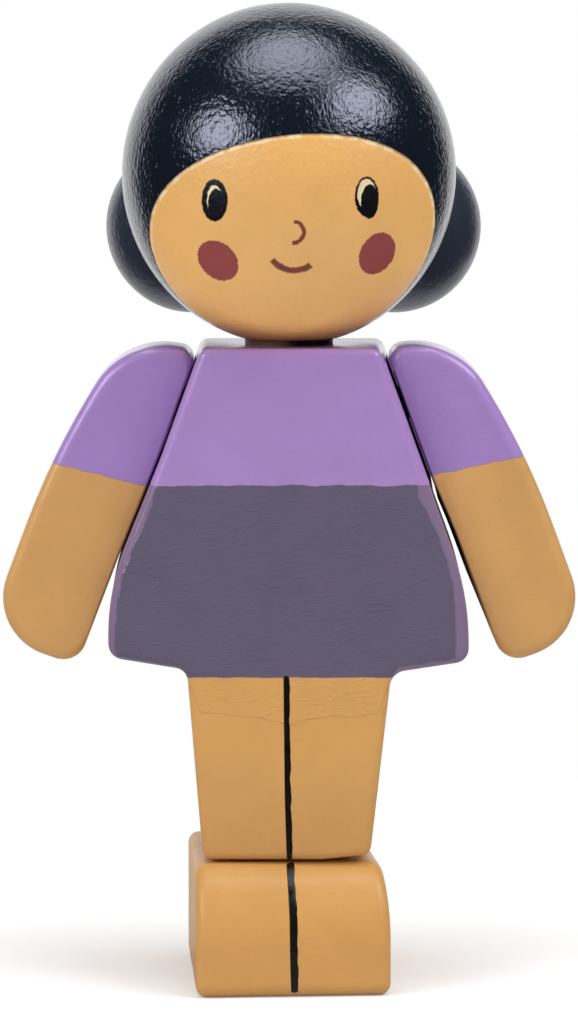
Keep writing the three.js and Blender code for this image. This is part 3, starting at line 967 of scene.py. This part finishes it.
# It rubs where its face is turned to the torso by this much, as a cosine, and below its top. There
# it is also painted dark, as painted shade
turned_to_torso = (0.2, 0.8)
rub_below_top = 2.2


def fullness(inner_face, down):
    """How full the inner face is at a distance from the top."""
    for (full, near), (next_full, far) in zip(inner_face, inner_face[1:]):
        if down <= far:
            return full + (next_full - full) * (down - near) / (far - near)
    return inner_face[-1][0]


for side, (sign, sleeve_height, sleeve_slope, askew, light_and_shade_share, slim) in arms.items():
    # Across from the flat inner face, and up along it
    inner_face = inner_faces[side]
    arm_outline = [
        *[(-full, -down, rounding) for (full, down), rounding in zip(inner_face, inner_roundings)],
        (arm_width, -arm_length - hand_slant, hand_rounding),
        (arm_width - slim, -elbow_from_top, elbow_rounding),
        (shoulder_width - slim, -shoulder_width * shoulder_slope, shoulder_rounding),
    ]
    # Satin arm paint: a lilac sleeve brushed over tan, with a small step at its wavy end
    arm_paint, tree, place = new_finish(f"sleeve_and_arm_paint_{side}")
    axes = add_node(tree, "ShaderNodeSeparateXYZ", {0: place})
    z = axes["Z"]
    sleeve_end = add_node(tree, "ShaderNodeMath", {
        0: axes["X"], 1: sign * sleeve_slope, 2: sleeve_height * mm,
    }, operation="MULTIPLY_ADD")[0]
    from_sleeve = add_node(tree, "ShaderNodeMath", {0: z, 1: sleeve_end}, operation="SUBTRACT")[0]
    sleeve = painted_side(tree, wavy(tree, from_sleeve, place, reach=0.14, length=2.5))
    arm_colour = over(tree, sleeve, linear("#c69559"), linear("#9c7bb8"))
    # Painted light: where the torso shades it, the colour is made paler to lift that shade
    from_torso = add_node(tree, "ShaderNodeVectorMath", {
        0: place, 1: (sign * outward.x, 0, outward.z),
    }, operation="DOT_PRODUCT")["Value"]
    inner_plane = arm_top.dot(outward)
    beside_torso = add_node(tree, "ShaderNodeMapRange", {
        "Value": from_torso, "From Min": inner_plane * mm,
        "From Max": (inner_plane + sheltered_depth) * mm, "To Min": 1.0, "To Max": 0.0,
    })["Result"]
    up_arm = add_node(tree, "ShaderNodeMapRange", {
        "Value": z, "From Min": sheltered_heights[0] * mm, "From Max": sheltered_heights[1] * mm,
        "To Min": 0.0, "To Max": light_and_shade_share,
    })["Result"]
    painted_light_colour = over(tree, sleeve, linear("#e0a968"), linear("#a382c0"))
    painted_light_mask = add_node(tree, "ShaderNodeMath", {0: beside_torso, 1: up_arm}, operation="MULTIPLY")[0]
    arm_colour = over(tree, painted_light_mask, arm_colour, painted_light_colour)
    # Where it rubs on the torso, the inner face is dull, and painted shade makes it dark
    facing = add_node(tree, "ShaderNodeTexCoord")["Normal"]
    turned_in = add_node(tree, "ShaderNodeVectorMath", {
        0: facing, 1: (-sign * outward.x, 0, -outward.z),
    }, operation="DOT_PRODUCT")["Value"]
    inner_side = add_node(tree, "ShaderNodeMapRange", {
        "Value": turned_in, "From Min": turned_to_torso[0], "From Max": turned_to_torso[1],
    })["Result"]
    below_top = add_node(tree, "ShaderNodeMath", {
        0: (arm_top.z - rub_below_top) * mm, 1: z,
    }, operation="SUBTRACT")[0]
    rubbed = add_node(tree, "ShaderNodeMath", {
        0: inner_side, 1: painted_side(tree, below_top),
    }, operation="MULTIPLY")[0]
    painted_shade_mask = add_node(tree, "ShaderNodeMath", {0: rubbed, 1: up_arm}, operation="MULTIPLY")[0]
    arm_colour = over(tree, painted_shade_mask, arm_colour, linear("#33261f"))
    paint_on_beech(tree, place, arm_colour, "X", **shine_left(tree, rubbed), brushed=0.1, film=sleeve)
    half_turn = Matrix.Rotation(0 if sign > 0 else math.pi, 4, "Z")
    arm = make_piece(
        f"{side}_arm", outline_blank(f"{side}_arm_outline", arm_outline), board_rule,
        Thickness=arm_thickness * mm, Edge=arm_edge * mm, Paint=arm_paint,
    )
    for vertex in arm.data.vertices:
        # The two long edges beside the torso are hardly sanded
        down = -vertex.co.y / mm
        across = vertex.co.x + fullness(inner_face, down) * mm
        below_face = arm_thickness / 2 * mm - abs(vertex.co.z)
        if across < arm_edge * mm and below_face < arm_edge * mm:
            along = min(ramp(down, *crisp_start), ramp(down, *crisp_end))
            share = along * (1 - inner_edge / arm_edge)
            vertex.co.x -= share * across
            vertex.co.z += math.copysign(share * below_face, vertex.co.z)
        # Below the elbow, the inner face stands nearer to the torso at the back
        near_torso = 1 - ramp(across, 0, arm_width / 2 * mm)
        bevel = askew * near_torso * min(ramp(down, *askew_start), ramp(down, *askew_end))
        vertex.co.x -= bevel * (arm_thickness / 2 * mm - vertex.co.z * sign)
    arm.data.transform(half_turn @ arm_place)
    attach(arm, f"arm_{side}")
    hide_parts(f"arm_{side}")


# Head: a turned beech ball, a little taller than wide, drilled for the neck. It was dipped in
# blue-black lacquer and masked for the face, which is satin skin paint with printed features.
head_radius = 17.0
head_half_height = 17.4
head_gap = 0.55
neck_hole_radius = 4.75
neck_hole_top = body_top + 14.4
hole_rim = 0.3
rim_drop = head_half_height * math.sqrt(1 - (neck_hole_radius / head_radius) ** 2)
head_centre = Vector((0, 0, body_top + head_gap + rim_drop))


def ball_profile(radius, half_height, start, steps):
    """The ball's outline from an angle, measured from its lowest point, up to its top."""
    angles = [start + (math.pi - start) * i / steps for i in range(steps + 1)]
    points = [(radius * math.sin(a), -half_height * math.cos(a)) for a in angles]
    return [*points[:-1], (0, half_height)]


rim_angle = math.asin(neck_hole_radius / head_radius)
head_profile = [
    (0, neck_hole_top - head_centre.z), (neck_hole_radius, neck_hole_top - head_centre.z),
    (neck_hole_radius, hole_rim - rim_drop),
    *ball_profile(head_radius, head_half_height, rim_angle, steps=110),
]

# The hair: clear blue-black gloss over the wood, whose pores show as fine dashes up and down
hair_colour = "#0d151f"
head_paint, tree, place = new_finish("hair_and_face_paint")
face_turn = Euler((math.radians(39.2), 0, math.radians(4.0)))
on_ball = add_node(tree, "ShaderNodeMapping", {
    "Vector": place, "Location": head_centre * mm, "Rotation": face_turn,
    "Scale": (head_radius * mm, head_radius * mm, head_half_height * mm),
}, vector_type="TEXTURE")[0]
fx, fy, fz = add_node(tree, "ShaderNodeSeparateXYZ", {0: on_ball})
axes = add_node(tree, "ShaderNodeSeparateXYZ", {0: place})


def oval(tree, px, pz, centre, half_size, turn=0.0):
    """How far outside an oval a point is, from -1 at its centre to 0 on its line."""
    spot = add_node(tree, "ShaderNodeCombineXYZ", {"X": px, "Z": pz})[0]
    turned = add_node(tree, "ShaderNodeMapping", {
        "Vector": spot, "Location": (centre[0], 0, centre[1]), "Rotation": (0, -math.radians(turn), 0),
        "Scale": (half_size[0], 1, half_size[1]),
    }, vector_type="TEXTURE")[0]
    reach = add_node(tree, "ShaderNodeVectorMath", {0: turned}, operation="LENGTH")["Value"]
    return add_node(tree, "ShaderNodeMath", {0: reach, 1: -1.0}, operation="ADD")[0]


def inside(tree, outside, softness):
    """1 inside an oval and 0 outside it."""
    return add_node(tree, "ShaderNodeMapRange", {
        "Value": outside, "From Min": softness, "From Max": -softness, "To Min": 0.0, "To Max": 1.0,
    })["Result"]


def both_masks(tree, first, second):
    """Where both masks are 1."""
    return add_node(tree, "ShaderNodeMath", {0: first, 1: second}, operation="MULTIPLY")[0]


# The face is an oval on the ball, in shares of its radius. Painted light makes it a little
# brighter towards the chin, from the first height down to the second.
face_softness = 0.006
front_softness = 0.02
chin_light_heights = (86.0, 68.0)
face_oval = oval(tree, fx, fz, (-0.012, 0.064), (0.8435, 0.7255), 9.9)
front = add_node(tree, "ShaderNodeMapRange", {
    "Value": fy, "From Min": front_softness, "From Max": -front_softness, "To Min": 0.0, "To Max": 1.0,
})["Result"]
face = both_masks(tree, inside(tree, face_oval, face_softness), front)
painted_chin_light = add_node(tree, "ShaderNodeMapRange", {
    "Value": axes["Z"], "From Min": chin_light_heights[0] * mm, "From Max": chin_light_heights[1] * mm,
})["Result"]
# Painted light: lighter towards the chin
face_colour = over(tree, painted_chin_light, linear("#dfa755"), linear("#f0b667"))
colour = over(tree, face, linear(hair_colour), face_colour)

black_print = linear("#07060a")
brown_print = linear("#833a1f")
rose_print = linear("#963f36")
# The prints are on the front of the ball alone, and fade in from the first depth to the second
print_depths = (-3.0, -4.0)
print_front = add_node(tree, "ShaderNodeMapRange", {
    "Value": axes["Y"], "From Min": print_depths[0] * mm, "From Max": print_depths[1] * mm,
    "To Min": 0.0, "To Max": 1.0,
})["Result"]
# The stamp's ink ran a little into the fibres, so its outlines are ragged
fibre_run = 0.3
run_reach = 0.17
fibres = add_node(tree, "ShaderNodeTexNoise", {
    "Vector": place, "Scale": 1 / (fibre_run * mm), "Detail": 0.0,
})["Color"]
centred = add_node(tree, "ShaderNodeVectorMath", {0: fibres, 1: (0.5, 0.5, 0.5)}, operation="SUBTRACT")[0]
ragged = add_node(tree, "ShaderNodeVectorMath", {
    0: centred, 1: (run_reach * mm,) * 3, 2: place,
}, operation="MULTIPLY_ADD")[0]
ragged_axes = add_node(tree, "ShaderNodeSeparateXYZ", {0: ragged})


def stamp(centre, half_size, softness, turn=0.0):
    """The mask of a printed oval: its centre and half size in millimetres, and its turn in degrees."""
    in_metres = [[size * mm for size in pair] for pair in (centre, half_size)]
    return inside(tree, oval(tree, ragged_axes["X"], ragged_axes["Z"], *in_metres, turn), softness)


def printed(mask, under, ink):
    """Ink over a colour where a mask is 1, on the front of the head alone."""
    return over(tree, both_masks(tree, mask, print_front), under, ink)


# Cheeks: centre x and z, half length and half width in millimetres, and the turn in degrees
for centre, half_size, turn in (((-7.06, 74.43), (2.28, 1.78), -46), ((8.76, 75.09), (2.23, 1.7), 60)):
    colour = printed(stamp(centre, half_size, 0.02, turn), colour, rose_print)

# Eyes: a black ring, and a large pupil towards its lower right. It leaves a crescent that is pale
# yellow beside the pupil. The ring, its opening and the pupil are each a centre and a half size.
glow_width = 0.16
for ring, ring_half, opening, opening_half, pupil, pupil_half in (
    ((-7.34, 80.49), (1.31, 2.09), (-7.34, 80.49), (0.78, 1.5), (-7.16, 80.05), (0.86, 1.62)),
    ((7.7, 80.84), (1.19, 2.0), (7.68, 81.1), (0.91, 1.5), (7.98, 80.35), (0.88, 1.7)),
):
    glow = stamp(pupil, [half + glow_width for half in pupil_half], 0.06)
    white = over(tree, glow, linear("#e6cba6"), linear("#e8dfa0"))
    colour = printed(stamp(ring, ring_half, 0.03), colour, black_print)
    colour = printed(stamp(opening, opening_half, 0.04), colour, white)
    colour = printed(stamp(pupil, pupil_half, 0.04), colour, black_print)

# Nose and mouth: arcs of circles. Centre x and z, radius, line width, and the arc's middle
# direction and half width in degrees, anticlockwise from the figure's left.
arc_end = 0.03
for centre, radius, line, middle, half_arc in (
    ((0.42, 77.38), 1.06, 0.38, -4, 92),
    ((0.52, 76.2), 2.68, 0.62, -98, 46),
):
    outer = stamp(centre, [radius + line / 2] * 2, 0.03)
    inner = stamp(centre, [radius - line / 2] * 2, 0.03)
    on_print = add_node(tree, "ShaderNodeCombineXYZ", {
        "X": ragged_axes["X"], "Z": ragged_axes["Z"],
    })[0]
    from_centre = add_node(tree, "ShaderNodeVectorMath", {
        0: on_print, 1: (-centre[0] * mm, 0, -centre[1] * mm),
    }, operation="ADD")[0]
    unit = add_node(tree, "ShaderNodeVectorMath", {0: from_centre}, operation="NORMALIZE")[0]
    aimed = add_node(tree, "ShaderNodeVectorMath", {
        0: unit, 1: (math.cos(math.radians(middle)), 0, math.sin(math.radians(middle))),
    }, operation="DOT_PRODUCT")["Value"]
    in_arc = add_node(tree, "ShaderNodeMapRange", {
        "Value": aimed, "From Min": math.cos(math.radians(half_arc)) - arc_end,
        "From Max": math.cos(math.radians(half_arc)) + arc_end, "To Min": 0.0, "To Max": 1.0,
    })["Result"]
    ring_mask = add_node(tree, "ShaderNodeMath", {0: outer, 1: inner}, operation="SUBTRACT")[0]
    colour = printed(both_masks(tree, ring_mask, in_arc), colour, brown_print)
hair = add_node(tree, "ShaderNodeMath", {0: 1.0, 1: face}, operation="SUBTRACT")[0]
# A pale, broken line runs along the edge of the hair. It is this wide, as a share of the oval.
pale_line_width = 0.014
crumb_length = 0.9
past_line = add_node(tree, "ShaderNodeMath", {0: face_oval, 1: pale_line_width}, operation="ADD")[0]
mask_edge = add_node(tree, "ShaderNodeMath", {
    0: inside(tree, face_oval, face_softness), 1: inside(tree, past_line, face_softness),
}, operation="SUBTRACT")[0]
crumbs = add_node(tree, "ShaderNodeTexNoise", {
    "Vector": place, "Scale": 1 / (crumb_length * mm), "Detail": 2.0,
})["Fac"]
broken = add_node(tree, "ShaderNodeMapRange", {
    "Value": crumbs, "From Min": 0.4, "From Max": 0.6, "To Min": 0.15, "To Max": 0.9,
})["Result"]
pale_line = both_masks(tree, both_masks(tree, mask_edge, broken), front)
colour = over(tree, pale_line, colour, linear("#efdcb4"))
gloss = add_node(tree, "ShaderNodeMapRange", {"Value": face, "To Min": 0.14, "To Max": 0.45})["Result"]
lacquered = add_node(tree, "ShaderNodeMapRange", {"Value": hair, "To Min": 0.05, "To Max": 0.3})["Result"]
wood_shows = add_node(tree, "ShaderNodeMapRange", {"Value": hair, "To Min": 0.06, "To Max": 0.9})["Result"]
blue_gloss = (0.78, 0.8, 1.0, 1)
paint_on_beech(
    tree, place, colour, "Z", gloss, varnish=0.07, coats=lacquered, specular=0.9, tint=blue_gloss,
    wood_shows=wood_shows, ridge_depth=0.035, peel=0.55, peel_depth=0.075, brushed=0.05, film=hair,
)

head = make_piece(
    "head_ball", profile_blank("head_profile", head_profile), turned_rule,
    Matrix.Translation(head_centre * mm),
    Sides=160, Uneven=0.1 * mm, Seed=2.0, Paint=head_paint,
)


# Hair buns: two smaller turned balls, each with a flat that is glued to a flat on the head. The
# head goes on the neck with them.
bun_radius = 9.2
seat_radius = 5.0
glue_line = 0.25
bun_spread = 27.3
bun_droop = 14.7
bun_turn = 1.3
dowel_hole_radius = 2.25
dowel_hole_depth = 6.4
head_to_seat = math.sqrt(head_radius ** 2 - seat_radius ** 2) - glue_line / 2
seat_to_bun = math.sqrt(bun_radius ** 2 - seat_radius ** 2)
flat_angle = math.asin(seat_radius / bun_radius)
bun_profile = [
    (0, dowel_hole_depth), (dowel_hole_radius, dowel_hole_depth), (dowel_hole_radius, 0),
    *[(r, up + seat_to_bun) for r, up in ball_profile(bun_radius, bun_radius, flat_angle, steps=70)],
]
# The buns' lacquer: blue-black like the hair, but duller, so the light on it is broad and streaky.
# Its colour is lighter than the hair's as painted reflection
hair_lacquer, tree, place = new_finish("hair_lacquer")
paint_on_beech(
    tree, place, linear("#262c38"), "Z", roughness=0.33, varnish=0.12, coats=0.3, specular=0.8,
    tint=blue_gloss, wood_shows=0.9, ridge_depth=0.035, peel=0.55, peel_depth=0.05,
)
# Each bun: its side of the figure, and the seed of its unevenness
for side, sign, seed in (("left", 1, 21.0), ("right", -1, 25.0)):
    spread = Matrix.Rotation(math.radians(-sign * bun_spread - bun_turn), 3, "Z")
    direction = spread @ Matrix.Rotation(math.radians(-bun_droop), 3, "X") @ Vector((0, 1, 0))
    seat = head_centre + head_to_seat * direction
    for vertex in head.data.vertices:
        past_seat = (vertex.co - seat * mm).dot(direction)
        if past_seat > 0:
            vertex.co -= past_seat * direction
    bun_base = seat + glue_line * direction
    bun_place = Matrix.Translation(bun_base * mm) @ direction.to_track_quat("Z", "Y").to_matrix().to_4x4()
    bun = make_piece(
        f"bun_{side}", profile_blank(f"bun_profile_{side}", bun_profile), turned_rule, bun_place,
        Sides=112, Uneven=0.08 * mm, Seed=seed, Paint=hair_lacquer,
    )
    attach(bun, "head")
    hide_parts(f"hair_bun_{side}")
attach(head, "head")
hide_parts("head")
